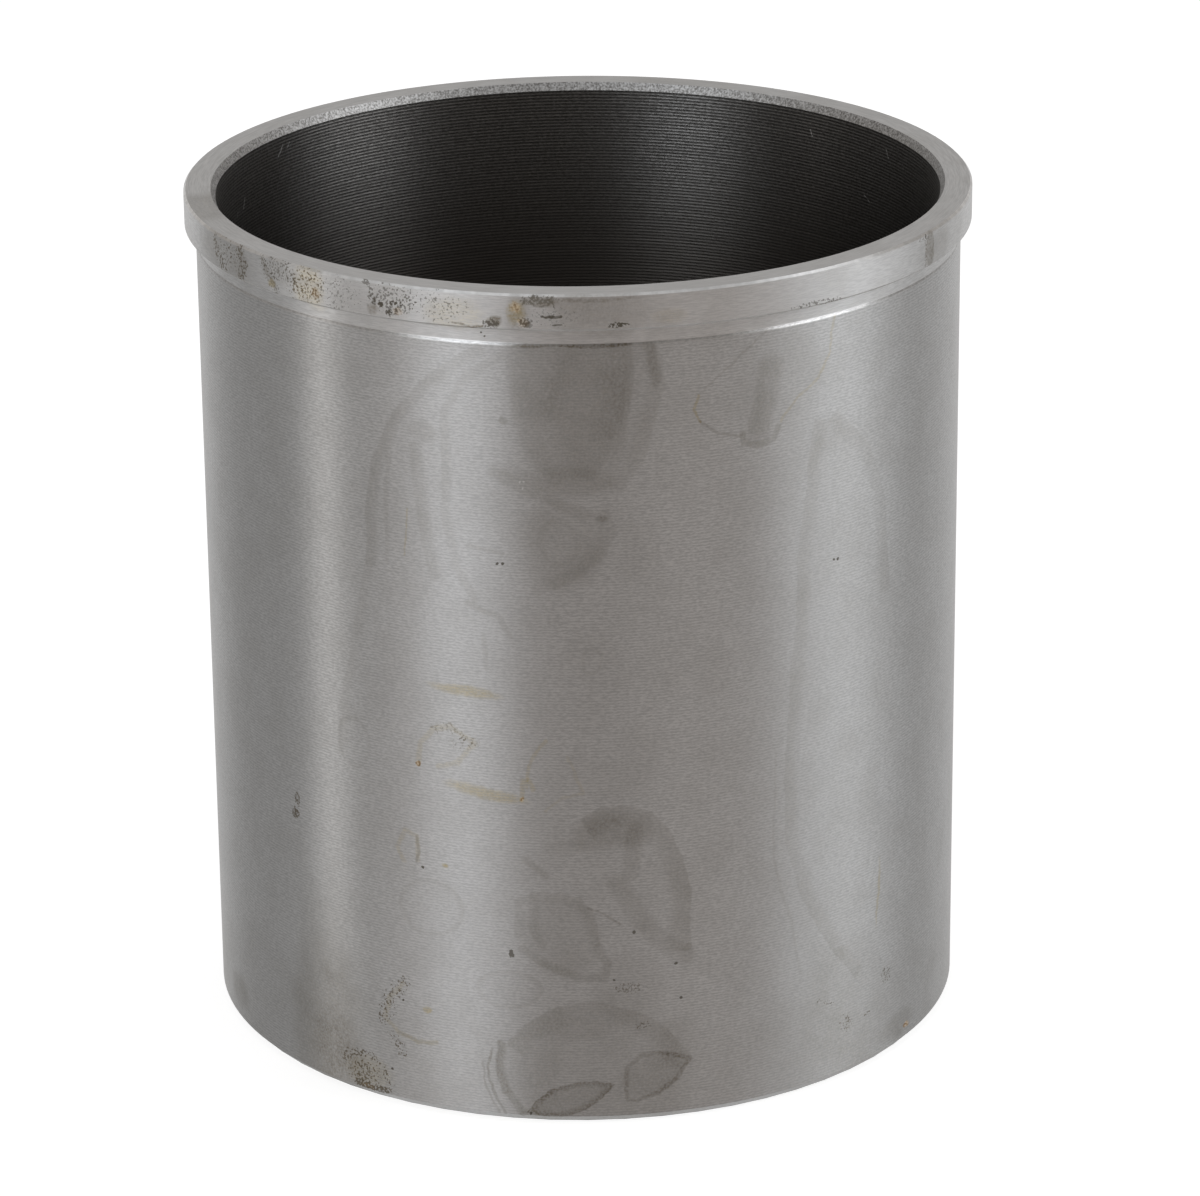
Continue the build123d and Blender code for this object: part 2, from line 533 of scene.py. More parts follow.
class Marks:
    """Adds up what has dried on one material's surface, and the painted shade laid with it."""

    def __init__(self, tree, shader, finish, old_film):
        self.tree = tree
        self.shader = shader
        self.finish = finish
        self.sheet = use_group(tree, unroll)
        self.totals = dict.fromkeys(kinds, 0.0)
        self.totals["FilmAndShade"] = smooth_step(tree, self.sheet["Patchy"], 0.35, 0.7, 0.0, old_film)
        self.count = 0

    def add(self, kind, mask, strength, cover):
        """Adds a mark to the total of its kind, whole or broken into specks."""
        if cover:
            raised = maths(self.tree, "MULTIPLY_ADD", mask, 0.45 * cover, self.sheet["Grit"])
            within = smooth_step(self.tree, mask, 0.0, 0.15)
            mask = maths(self.tree, "MULTIPLY", smooth_step(self.tree, raised, 0.66, 0.74), within)
        self.totals[kind] = maths(self.tree, "MULTIPLY_ADD", mask, strength, self.totals[kind])
        self.count += 1

    def place(self, middle, size, turn):
        """The sheet and a mark's two axes, as its group takes them."""
        angle = math.radians(turn)
        side = (math.cos(angle), math.sin(angle))
        upwards = (-side[1], side[0])
        return {
            "Sheet": self.sheet["Sheet"],
            "Across": axis(side, size[0] / 2, middle), "Up": axis(upwards, size[1] / 2, middle),
        }

    def patch(self, kind, middle, size, strength, turn=0, core=0.1, cover=None):
        """An oval that fades from its core to its edge."""
        inside = use_group(self.tree, patch, self.place(middle, size, turn) | {"Core": core})["Inside"]
        self.add(kind, inside, strength, cover)

    def ring(self, kind, middle, size, strength, turn=0, width=0.1):
        """The line at an oval's edge."""
        rim = {"Outside": 1 + 0.6 * width, "Within": 1 - 1.8 * width}
        line = use_group(self.tree, ring, self.place(middle, size, turn) | rim)["Line"]
        self.add(kind, line, strength, None)

    def leaf(self, kind, middle, size, filled, edged, turn=0, width=0.3):
        """A pointed drop: its whole area, and a stronger line round it."""
        rim = {"Outside": 1.12, "Within": 1 - 1.8 * width}
        shape = use_group(self.tree, leaf, self.place(middle, size, turn) | rim)
        self.add(kind, shape["Inside"], filled, None)
        self.add(kind, shape["Line"], edged, None)

    def stroke(self, kind, points, width, strength, right=1.0, cover=None):
        """A line through points. Its right side, seen along the way, can be wider and so softer."""
        group, soft = (stroke, {}) if right == 1 else (soft_stroke, {"Right": -1 / right})
        nearest = None
        for start, end in zip(points, points[1:]):
            length = math.dist(start, end)
            middle = ((start[0] + end[0]) / 2, (start[1] + end[1]) / 2)
            turn = math.degrees(math.atan2(end[1] - start[1], end[0] - start[0]))
            place = self.place(middle, (width, width), turn)
            distance = use_group(self.tree, group, place | soft | {"Half": length / width})["Distance"]
            nearest = distance if nearest is None else maths(self.tree, "MINIMUM", distance, nearest)
        self.add(kind, smooth_step(self.tree, nearest, 1.0, 0.0), strength, cover)

    def dots(self, kind, size, *middles, strength=0.95):
        """Small round spots of one size."""
        for middle in middles:
            self.patch(kind, middle, (size, size), strength, core=0.4)

    def lay(self):
        """Lays everything over the finish and feeds the shader."""
        noises = {name: self.sheet[name] for name in ("Grit", "Patchy")}
        result = use_group(self.tree, dried_on_and_shade, self.finish | noises | self.totals)
        for output, name in (("Colour", "Base Color"), ("Roughness", "Roughness"), ("Metallic", "Metallic")):
            self.tree.links.new(result[output], self.shader.inputs[name])
        print(self.count, "marks")


print("shapes:", [name for name in vars(Marks) if name in ("patch", "ring", "leaf", "stroke", "dots")])

# %% [markdown]
# ## The ground outside
#
# Centreless grinding leaves a bright grey with fine lines round it. The lines scatter light up
# and down far more than sideways, so lamps show as tall soft bands. Anisotropy does that: the
# tangent runs round the axis, and a quarter turn stretches the gloss across the lines.

# %% Ground iron
def new_material(name):
    """An empty material with a Principled BSDF."""
    material = bpy.data.materials.new(name)
    material.use_nodes = True
    tree = material.node_tree
    return material, tree, tree.nodes["Principled BSDF"]


def round_the_axis(tree, shader, anisotropy):
    """Stretches the gloss as lines round the axis do."""
    tangent = node(tree, "Tangent", direction_type="RADIAL", axis="Z")
    tree.links.new(tangent.outputs[0], shader.inputs["Tangent"])
    shader.inputs["Anisotropic"].default_value = anisotropy
    shader.inputs["Anisotropic Rotation"].default_value = 0.25


def lined_finish(tree, length, pitch, dark, light, rough, smooth, feed=1.0, start=0.0, wave=0.0):
    """Colour and roughness that follow the tool lines."""
    tool = {"Length": length, "Pitch": pitch, "Feed": feed, "Start": start, "Wave": wave}
    tone = use_group(tree, lines, tool)["Lines"]
    step = smooth_step(tree, tone, 0.3, 0.7)
    colour = blend_colour(tree, step, dark, light)
    roughness = maths(tree, "MULTIPLY_ADD", step, smooth - rough, rough)
    return {"Colour": colour, "Roughness": roughness, "Lines": tone}


def ground_iron(name):
    """The ground metal of one zone, ready for its marks."""
    material, tree, shader = new_material(name)
    finish = lined_finish(
        tree, length=0.6, pitch=0.13, dark=grey(0.48), light=grey(0.66),
        rough=0.38, smooth=0.34, feed=0.417, wave=0.08,
    )
    round_the_axis(tree, shader, 0.85)
    return material, Marks(tree, shader, finish, old_film=0.07)


ground_lower, lower = ground_iron("ground_lower")
ground_middle, middle = ground_iron("ground_middle")
ground_upper, upper = ground_iron("ground_upper")
print("zones:", ground_lower.name, ground_middle.name, ground_upper.name)

# %% [markdown]
# ## Film below the flange
#
# Oil ran down from the flange and dried in overlapping skins. The darkest is at the front, with a
# round foot, and a smaller drop hangs below it. A patch fills each skin, and strokes with one
# soft side give it an edge.

# %% Upper zone: the film at the front
front_edge = [(6.4, 112), (6.6, 105), (5.6, 98), (3.6, 92), (0, 90.2), (-4, 90.8), (-10, 93.6)]
second_edge = [(7.8, 112), (10.2, 108.5), (11, 105), (9.6, 100.5), (8.2, 96), (5, 91)]
upper.patch("FilmAndShade", (-1.5, 106.5), (17.5, 33), 0.24, core=0.6)
upper.stroke("FilmAndShade", front_edge, 1.2, 0.08, right=2)
upper.patch("FilmAndShade", (-0.5, 92.2), (15, 5), 0.15, turn=-4)
upper.patch("FilmAndShade", (3, 105), (16, 28), 0.09, core=0.5)
upper.stroke("FilmAndShade", second_edge, 1.2, 0.12, right=4)
upper.stroke("FilmAndShade", [(8, 112), (9.2, 109), (10, 105.5)], 2.0, 0.20)
upper.patch("FilmAndShade", (-1, 110.8), (18, 1.0), 0.4, core=0.4)

upper.patch("FilmAndShade", (-2.5, 83.5), (13, 15), 0.14, core=0.3)
upper.stroke("FilmAndShade", [(3.2, 88), (4, 85.5), (2.4, 82), (-1, 79), (-6, 76.8)], 1.4, 0.12, right=3)
upper.stroke("FilmAndShade", [(-11.5, 93.5), (-7, 91), (-2.5, 89), (0.8, 87.6)], 2.4, 0.16)
upper.ring("FilmAndShade", (-3, 84), (5.5, 6), 0.07, width=0.2)
upper.patch("FilmAndShade", (2.7, 87), (1.9, 1.3), 0.26)
upper.ring("FilmAndShade", (1.2, 67.5), (2.6, 3.6), 0.09, width=0.2)
print("marks so far:", upper.count)

# %% [markdown]
# Long curved lines sweep down to the left of the film. They are the edges of older skins that
# drained away. A line that goes on into the next zone ends at its border, so that the two halves
# meet.

# %% Upper zone: the sweeps at the left
outer_sweep = [(-29.8, 78), (-29.8, 86), (-28.4, 93), (-25.2, 100), (-20, 106), (-13, 110.6)]
inner_sweep = [(-14.5, 75.5), (-17.2, 80), (-18.7, 87), (-18.3, 95), (-18, 102), (-15, 106.6), (-10, 109.6)]
upper.stroke("FilmAndShade", outer_sweep, 0.9, 0.14, right=4)
upper.stroke("FilmAndShade", [(-33, 65), (-29.8, 79)], 1.0, 0.08, right=3)
upper.stroke("FilmAndShade", [(-27, 79), (-26.8, 88), (-26.2, 94)], 1.0, 0.10)
upper.stroke("FilmAndShade", inner_sweep, 0.9, 0.11, right=3)
upper.stroke("FilmAndShade", [(-20.2, 78), (-21.8, 86), (-22.6, 96)], 1.2, 0.14, right=3)
upper.patch("FilmAndShade", (-21, 98), (5, 4), 0.14)
upper.stroke("FilmAndShade", [(-15.3, 83), (-10.5, 82.2)], 0.9, 0.18)
upper.stroke("FilmAndShade", [(-15.5, 75.2), (-11.5, 73.4), (-9.8, 70.5)], 1.2, 0.14)
upper.stroke("FilmAndShade", [(-13.2, 70.5), (-13, 66)], 1.0, 0.10)
upper.stroke("Oil", [(-24.3, 80.3), (-24, 83), (-23.4, 87)], 0.4, 0.3)
print("marks so far:", upper.count)

# %% [markdown]
# A slanted pocket hangs to the right, with a dark foot where its last drop dried. Beside it
# starts a tall drip, with a line at each side. A few specks of dirt and bright nicks lie between.

# %% Upper zone: the pocket and the drip
pocket_foot = [(27.3, 97.4), (26.5, 95.7), (24, 95.1), (21.6, 95.6), (21.3, 97.2)]
upper.patch("FilmAndShade", (27, 104), (17, 17), 0.07, core=0.4)
upper.stroke("FilmAndShade", [(16.2, 103.8), (19, 106), (22.5, 108.4), (25.5, 110.6)], 0.5, 0.18)
upper.stroke("Oil", [(15.4, 103), (15, 101), (15.8, 99.3)], 0.5, 0.4)
upper.stroke("FilmAndShade", [(15.8, 99.3), (18, 97.6), (21.3, 96.8)], 0.6, 0.24)
upper.stroke("FilmAndShade", pocket_foot, 0.8, 0.30, right=2)
upper.stroke("FilmAndShade", [(26, 105.6), (25, 101.5), (23.8, 97)], 5.0, 0.22)
upper.stroke("Oil", [(27.5, 98), (30, 100.5), (33, 102.5), (35.4, 106), (36.2, 110.6)], 0.6, 0.25)

upper.stroke("FilmAndShade", [(29.5, 65), (30.3, 76), (31.6, 87), (33.2, 97)], 0.7, 0.14, right=7)
upper.stroke("FilmAndShade", [(36.5, 97.5), (42.5, 91), (46, 83), (47.2, 70)], 1.0, 0.10, right=5)
upper.patch("FilmAndShade", (38, 58), (17, 80), 0.05, turn=3, core=0.6)
upper.patch("FilmAndShade", (35.5, 94.5), (6, 7), 0.14)

upper.dots("SootAndShade", 0.5, (-11.2, 80.7), (-10.5, 80.7), (36.3, 76.5), (37, 76.5))
upper.patch("FilmAndShade", (-10, 100.4), (1.4, 1.4), 0.35)
upper.dots("Bare", 0.35, (-7.9, 92), (-7.4, 92), (-7.6, 91.1), strength=0.5)
upper.lay()

# %% [markdown]
# ## Drips and finger marks
#
# The tall drip runs on down the right of the front. A finger wiped two short streaks of yellow
# oil on the left, among small rings where drops dried. A streak thins out at both ends, so it is
# a long narrow patch, and the outlines round it are strokes through a few points.

# %% Middle zone: the drip and the oil
middle.stroke("FilmAndShade", [(36.4, 20), (30.7, 30), (28.5, 38), (28.2, 47), (29.5, 65)], 0.7, 0.14, right=7)
middle.stroke("FilmAndShade", [(30.4, 20), (29.3, 26), (26.6, 35), (26.2, 43), (26.8, 51)], 0.6, 0.10)
middle.patch("FilmAndShade", (38, 58), (17, 80), 0.05, turn=3, core=0.6)
middle.patch("Oil", (45.6, 25.5), (0.7, 12), 0.35, turn=-2)
middle.stroke("FilmAndShade", [(-36, 50), (-33, 65)], 1.0, 0.08, right=3)

oily_leaf = [(-22.8, 51), (-22.2, 54), (-20.5, 56.2), (-18, 57), (-14.5, 54.8), (-17, 51.6), (-20, 50.7)]
middle.patch("Oil", (-16.1, 62.4), (12.4, 2.0), 0.42, turn=-5)
middle.patch("Oil", (-13.2, 47.9), (13.6, 2.1), 0.42, turn=-8)
middle.stroke("Oil", [(-8.2, 47.2), (-8, 50), (-7, 50.3), (-6.6, 49)], 0.9, 0.3)
middle.patch("Rust", (-8.2, 47.3), (1.0, 1.1), 0.6)
middle.stroke("Oil", oily_leaf, 1.1, 0.2)
middle.stroke("FilmAndShade", [(-20.5, 56.3), (-18, 57), (-16.3, 55.6), (-14.5, 54.8)], 1.8, 0.4, cover=0.34)
middle.patch("FilmAndShade", (-16.3, 54.3), (5, 3), 0.3, turn=-20, cover=0.3)
middle.patch("Rust", (-22.8, 50.9), (1.3, 1.2), 0.62)
middle.ring("FilmAndShade", (-33, 52.2), (5.8, 7.4), 0.10, width=0.14)
middle.stroke("Oil", [(-7.5, 49), (-7, 53), (-5, 56)], 0.7, 0.25)
middle.stroke("Oil", [(-5, 46), (-3, 47.8), (0, 48.4), (-1, 50.5), (-2.2, 53.5)], 0.6, 0.14)
middle.patch("FilmAndShade", (-44.7, 38.5), (2.2, 2.2), 1.0, cover=0.7)
middle.patch("FilmAndShade", (-44.2, 40.8), (1.2, 3), 0.8, cover=0.6)
middle.stroke("Oil", [(-25.4, 36.5), (-26.3, 38.5), (-25, 41), (-23.4, 40.4), (-23.2, 37)], 0.9, 0.2)
middle.stroke("FilmAndShade", [(-23.4, 40.4), (-23.1, 38), (-23.5, 36.8)], 0.6, 0.34)
middle.patch("Oil", (-19.2, 36.7), (1.2, 0.9), 0.6)
middle.ring("FilmAndShade", (-21.5, 30.3), (9.4, 8), 0.11, width=0.14)
print("marks so far:", middle.count)

# %% [markdown]
# Lower down a dark crescent curls over a pale leaf, and a round stain sits below it. Each dried
# from its edge inwards, so the edge is the darkest part. Two broad patches of painted shade dim
# the sides near the foot, where the bands of reflected light fade towards the floor.

# %% Middle zone: the crescent and the stain
crescent = [(0, 44.6), (2.5, 46), (5.5, 46.2), (8.5, 45), (11, 42.4), (13, 38.6), (14.2, 33), (13.8, 25)]
middle.stroke("FilmAndShade", crescent, 1.0, 0.20, right=7)
middle.stroke("FilmAndShade", [(0.5, 42.6), (4, 43.4), (6.8, 42.8)], 6.0, 0.20)
middle.stroke("FilmAndShade", [(6.6, 42.5), (6.4, 39.5), (6, 37)], 3.4, 0.17)
middle.stroke("FilmAndShade", [(4.3, 35.5), (5.5, 33), (7.5, 29.8), (10, 26.6), (13.4, 24.2)], 3.6, 0.17)
middle.stroke("FilmAndShade", [(-7.8, 38.8), (-5, 36.7)], 1.6, 0.18)
middle.patch("FilmAndShade", (-2.5, 41), (8, 3), 0.10)

stain_top = [(-9.3, 27.5), (-9.2, 32.5), (-7, 33.7), (-3, 34.1), (-0.5, 33.2), (1, 31), (1.4, 26.5)]
stain_foot = [(1.4, 26.5), (3.2, 23.5), (2.6, 21.1), (-1.5, 21.6), (-5.5, 23.3), (-8.6, 25.6)]
middle.patch("FilmAndShade", (-3.4, 27.8), (12.4, 13.4), 0.14, core=0.5)
middle.stroke("FilmAndShade", stain_top, 0.8, 0.14, right=4)
middle.stroke("FilmAndShade", stain_foot, 0.9, 0.16, right=3)
middle.stroke("FilmAndShade", [(0.5, 32), (2.5, 31), (4.6, 29.6)], 0.5, 0.28)
middle.stroke("FilmAndShade", [(-6.9, 33), (-6.8, 29), (-5.8, 26)], 1.8, 0.12)
middle.ring("FilmAndShade", (-10.6, 19.6), (9, 5.6), 0.12, width=0.15)
middle.patch("FilmAndShade", (5.8, 19.8), (6, 2.2), 0.4, cover=0.38)
middle.patch("FilmAndShade", (5.5, 20), (13, 14), 0.12)

middle.dots("SootAndShade", 0.5, (-22.6, 36), (3.6, 21.1))
middle.dots("SootAndShade", 0.65, (6.6, 28.1), (12.3, 23.1))
middle.patch("SootAndShade", (-10, 25), (1.3, 1.3), 0.9, cover=0.9)
# Painted shade: two broad patches dim the lower sides, where the bands of reflected light fade
middle.patch("FilmAndShade", (-39.5, 0), (17, 66), 0.34)
middle.patch("FilmAndShade", (37, 0), (24, 66), 0.15)
middle.lay()

# %% [markdown]
# ## Rings at the foot
#
# The liner stood on wet paper, so drops crept up from the foot and dried in arcs and leaf shapes.
# The first lines end the marks that come down from the zone above.

# %% Lower zone: arcs and leaves
lower.stroke("FilmAndShade", [(41, 14.5), (36.4, 20)], 0.7, 0.14, right=7)
lower.patch("FilmAndShade", (38, 58), (17, 80), 0.05, turn=3, core=0.6)
lower.stroke("FilmAndShade", [(30.8, 18), (30.4, 20)], 0.6, 0.10)
lower.ring("FilmAndShade", (-10.6, 19.6), (9, 5.6), 0.12, width=0.15)
lower.patch("FilmAndShade", (5.8, 19.8), (6, 2.2), 0.4, cover=0.38)
lower.patch("FilmAndShade", (5.5, 20), (13, 14), 0.12)

ring_top = [(-10.5, 11.5), (-8, 14.4), (-4, 16.8), (1, 17.7), (6, 16.2), (10.5, 13), (14, 8.6)]
lower.patch("FilmAndShade", (2, 7), (27, 28), 0.11, core=0.4)
lower.stroke("FilmAndShade", ring_top, 1.2, 0.16, right=5)
lower.stroke("FilmAndShade", [(-9, 1.2), (-11.4, 4.6), (-12.3, 8.5), (-12, 11.5)], 1.2, 0.30, right=2)
lower.stroke("FilmAndShade", [(-11.4, 1.2), (-13.1, 4.5), (-13.7, 7.5), (-13.2, 10.6)], 0.5, 0.30)
lower.stroke("FilmAndShade", [(-12.2, 1.2), (-14.1, 5.2), (-14.4, 8.4)], 0.45, 0.24)
lower.patch("FilmAndShade", (-0.5, 14), (9, 4.4), 0.14)
lower.patch("FilmAndShade", (7.3, 14), (3.4, 1.4), 0.4, cover=0.38)
lower.leaf("FilmAndShade", (-2.3, 3.6), (12.6, 4.4), 0.15, 0.30, turn=19)
blunt_leaf = [(5.4, 3.2), (5.3, 8.1), (7.3, 9.6), (10.5, 9.7), (14, 8.6)]
blunt_leaf += [(12.3, 6.3), (9.5, 4), (6.7, 3), (5.4, 3.2)]
lower.patch("FilmAndShade", (8.8, 6.6), (9.6, 6.6), 0.17, turn=18, core=0.4)
lower.stroke("FilmAndShade", blunt_leaf, 0.9, 0.26)
print("marks so far:", lower.count)

# %% [markdown]
# At the left of the foot the skin broke, and a crust of specks and rust began. A few more specks
# lie at the right. The cover breaks a mark up into such specks.

# %% Lower zone: crust and specks
hook = [(-21, 10.4), (-24, 9.8), (-27, 10.6), (-29, 12.6), (-28, 15.6), (-25.6, 18.4)]
lower.stroke("Oil", hook, 1.0, 0.22)
lower.stroke("FilmAndShade", hook[:3], 0.6, 0.2)
lower.stroke("FilmAndShade", hook[3:], 3.0, 0.8, cover=0.3)
lower.stroke("FilmAndShade", [(-28.2, 10), (-27.2, 8.8), (-26.4, 7.8)], 2.2, 0.7, cover=0.3)
lower.patch("Oil", (-22.3, 15.3), (1.8, 1.3), 0.5)

lower.patch("Oil", (-32, 3.6), (10, 6), 0.22)
crust = [(-36.2, 4.4), (-35.4, 5.7), (-32, 6.2), (-29.6, 4.6), (-28.3, 2.4)]
lower.stroke("FilmAndShade", crust, 1.6, 0.8, cover=0.34)
lower.patch("FilmAndShade", (-32.6, 3.1), (7.4, 5), 0.85, cover=0.3)
lower.stroke("FilmAndShade", [(-34, 1.6), (-31.4, 1.3), (-28.6, 1.5)], 1.4, 0.95, cover=0.6)
lower.stroke("Rust", [(-33, 1.5), (-31.4, 1.3)], 1.0, 0.4)
lower.patch("FilmAndShade", (-63, 5), (9, 7), 0.25)

lower.patch("FilmAndShade", (39.3, 8.2), (3, 3.4), 0.6, cover=0.3)
lower.patch("FilmAndShade", (43.8, 8.2), (2.6, 1.3), 0.6, cover=0.3)
lower.stroke("FilmAndShade", [(34, 12.8), (36.6, 11.6)], 0.8, 0.5, cover=0.3)
lower.patch("FilmAndShade", (47.5, 12.3), (3.4, 3.4), 0.5, cover=0.36)
lower.patch("FilmAndShade", (51, 3.5), (11, 5), 0.22)
lower.patch("Rust", (53.5, 2.4), (2.6, 1.4), 0.6)
lower.dots("SootAndShade", 0.5, (-26, 15.8), (-28, 4.9))
lower.dots("SootAndShade", 0.55, (12.7, 17.9), (-7.8, 1.4))
lower.patch("FilmAndShade", (0, -4), (4000, 48), 0.08)
# Painted shade: two broad patches dim the lower sides, where the bands of reflected light fade
lower.patch("FilmAndShade", (-39.5, 0), (17, 66), 0.34)
lower.patch("FilmAndShade", (37, 0), (24, 66), 0.15)
lower.lay()

# %% [markdown]
# ## The flange and the relief
#
# The flange's rim and the relief below it were turned and left as the tool cut them, a little
# brighter than the ground body. A thin dark line of painted shade lies on the break under the
# rim, where the flange shades the relief. The line follows the true height and not the pushed
# sheet, so it runs straight.

# %% Turned iron
rim, tree, shader = new_material("turned_rim")
rim_finish = lined_finish(
    tree, length=1.4, pitch=0.14, dark=grey(0.62), light=grey(0.77), rough=0.38, smooth=0.34,
)
round_the_axis(tree, shader, 0.75)
collar = Marks(tree, shader, rim_finish, old_film=0.10)
height = place_of(tree)["Z"]
above_seat = smooth_step(tree, height, seat_height - 0.05 * MM, seat_height)
rim_foot = seat_height + flange_underside_break
below_rim = smooth_step(tree, height, rim_foot + 0.05 * MM, rim_foot - 0.05 * MM)
# Painted shade: a thin dark line on the break under the rim, laid as soot
collar.add("SootAndShade", maths(tree, "MULTIPLY", above_seat, below_rim), 0.6, None)
print("finish:", rim.name)

# %% [markdown]
# Years on a shelf show first on the rim: black specks where damp got under the oil, yellow
# varnish, and orange rust. The left of it has strips and blots of specks round a patch of oil.

# %% Rim: specks at the left
left_blot = [(-58, 117), (-57.3, 115), (-55.6, 113.5)]
left_strip = [(-51.3, 117.5), (-50.2, 115.5), (-51, 113.6)]
slant = [(-46, 117.4), (-45, 115.4), (-43.2, 113.6)]
collar.patch("FilmAndShade", (-55, 115.5), (18, 9), 0.20)
collar.stroke("FilmAndShade", left_blot, 2.4, 0.9, cover=0.36)
collar.patch("FilmAndShade", (-54, 116), (9, 5), 0.8, cover=0.24)
collar.stroke("FilmAndShade", left_strip, 2.4, 0.16)
collar.stroke("FilmAndShade", left_strip, 2.6, 0.9, cover=0.36)

collar.stroke("FilmAndShade", slant, 1.4, 0.35, right=0.5)
collar.stroke("SootAndShade", slant, 2.0, 0.7, cover=0.36)
collar.patch("FilmAndShade", (-42.8, 116.2), (8, 5), 0.18)
collar.patch("SootAndShade", (-42.6, 116.6), (8, 4.4), 0.8, cover=0.36)
collar.patch("Oil", (-44, 114.2), (1.8, 1.5), 0.6)
collar.patch("Oil", (-37.4, 115.5), (6, 9), 0.3)
collar.patch("FilmAndShade", (-38, 115.6), (9, 7), 1.0, cover=0.30)
collar.patch("Rust", (-36.3, 114.8), (2.2, 2.6), 0.5)
collar.patch("SootAndShade", (-35.2, 115.2), (1.4, 1.2), 0.6, cover=0.4)
collar.patch("SootAndShade", (-32.5, 115.3), (9, 6), 0.7, cover=0.24)
print("marks so far:", collar.count)

# %% [markdown]
# Further round, dirt filled a crooked scratch, with a dense field of specks beside it.

# %% Rim: the scratch and its specks
crack = [(-28.4, 117.9), (-27.4, 117), (-27.5, 115.9), (-27, 115.1), (-25.8, 115)]
collar.stroke("SootAndShade", crack, 1.1, 0.8, cover=0.5)
collar.patch("FilmAndShade", (-27.2, 114.2), (2, 1.9), 0.4)
collar.patch("FilmAndShade", (-24.5, 115.5), (7, 6), 0.18)
collar.patch("SootAndShade", (-24.4, 115.8), (8.5, 5.6), 0.8, cover=0.36)
collar.patch("Rust", (-23.7, 114.3), (2.2, 1.7), 0.5)
collar.stroke("SootAndShade", [(-24.6, 115.4), (-22.8, 115.3)], 0.8, 0.8, cover=0.5)
collar.patch("SootAndShade", (-25, 114), (1.5, 0.9), 0.8, cover=0.6)
collar.patch("SootAndShade", (-18, 115.8), (10, 5), 0.7, cover=0.22)
collar.patch("Oil", (-16, 115), (10, 6), 0.2)
print("marks so far:", collar.count)

# %% [markdown]
# At the front, rust shows through gold varnish, between dark smudges and two short scratches.

# %% Rim: rust at the front
collar.stroke("FilmAndShade", [(-16, 113.9), (-13.5, 113.75), (-12, 113.85)], 0.4, 0.7)
collar.patch("FilmAndShade", (-10.6, 114.4), (2.6, 2), 0.9)
collar.patch("SootAndShade", (-10.9, 114.2), (2.8, 1.9), 0.85, cover=0.5)
collar.patch("FilmAndShade", (-7.6, 115.4), (3.8, 6.4), 0.3)
collar.patch("Oil", (-7.8, 115.6), (3, 4), 0.5)
collar.patch("Rust", (-7.9, 116.2), (2.2, 2.6), 0.55)
collar.patch("Rust", (-6.9, 114.2), (2.8, 1.8), 0.55)
collar.patch("SootAndShade", (-6.6, 114.2), (2.8, 1.8), 0.75, cover=0.6)
collar.patch("FilmAndShade", (-4.8, 117), (5.6, 1.8), 0.8)
collar.patch("SootAndShade", (-4.9, 117.1), (6.4, 1.9), 0.75, cover=0.55)
collar.stroke("SootAndShade", [(-4.7, 115.2), (-2.3, 115.2)], 0.4, 0.9, cover=1.2)
collar.stroke("SootAndShade", [(-3.4, 114.15), (-2.3, 114.1)], 0.4, 0.9, cover=1.1)
collar.patch("SootAndShade", (-3.2, 115.1), (8, 3.4), 0.7, cover=0.24)
collar.patch("SootAndShade", (4.6, 113.8), (3.4, 0.9), 1.0, cover=0.6)
print("marks so far:", collar.count)

# %% [markdown]
# The right of the rim is cleaner: a thin film, a row of specks above the relief, and one dark
# strip far round.

# %% Rim: the right
collar.patch("FilmAndShade", (2.6, 115.5), (14, 9), 0.20, core=0.4)
collar.patch("FilmAndShade", (2, 117.3), (16, 0.7), 0.2)
collar.patch("Oil", (11.4, 114.5), (6, 2.6), 0.12)
collar.patch("SootAndShade", (32, 113.5), (11, 1), 0.8, cover=0.4)

collar.patch("FilmAndShade", (54.6, 115.5), (2.8, 6), 0.35, core=0.5)
collar.stroke("SootAndShade", [(53.3, 117.4), (53.5, 113.6)], 0.8, 0.6, cover=0.5)
collar.stroke("SootAndShade", [(52, 117.3), (54.8, 117.2)], 0.9, 0.6, cover=0.4)
collar.patch("FilmAndShade", (58, 115), (9, 6), 0.14)
collar.dots("SootAndShade", 0.3, (-12.6, 112.4), (-12.2, 111.9))
collar.lay()

# %% [markdown]
# ## The faced ends
#
# A facing cut leaves a flat end with fine rings and a matt, even grey. A few greasy thumb prints
# dim it.

# %% Faced iron
faced, tree, shader = new_material("faced_end")
faced_finish = lined_finish(
    tree, length=3.0, pitch=0.15, dark=grey(0.45), light=grey(0.54), rough=0.52, smooth=0.47,
)
prints = Marks(tree, shader, faced_finish, old_film=0.08)
prints.patch("FilmAndShade", (-70, 118), (16, 6), 0.30)
prints.patch("FilmAndShade", (150, 118), (20, 6), 0.12)
prints.lay()

# %% [markdown]
# ## The bore
#
# The wall is rough bored and dark with old oil, so it throws back little light. Its grooves are
# geometry already. The colour darkens each groove and lightens each crest, for dirt in the grooves
# and as painted shade and highlight that make the feed lines show. It also adds the smeared metal
# along them, which breaks each line of light into short dashes. Lower down the wall turns a darker,
# warmer grey, which is painted shade deep in the bore. A few chips at the two sides still shine.

# %% Bored iron
bored, tree, shader = new_material("bored_wall")
first_crest = -(bore_radius + bore_foot_chamfer) / MM
# The wave darkens each groove and lightens each crest: dirt in the grooves, and painted shade and highlight
# that make the feed lines show
bored_finish = lined_finish(
    tree, length=0.45, pitch=0.2, dark=grey(0.09, 0.04), light=grey(0.27, 0.02),
    rough=0.43, smooth=0.37, feed=groove_pitch / MM, start=first_crest, wave=0.17,
)
height = place_of(tree)["Z"]
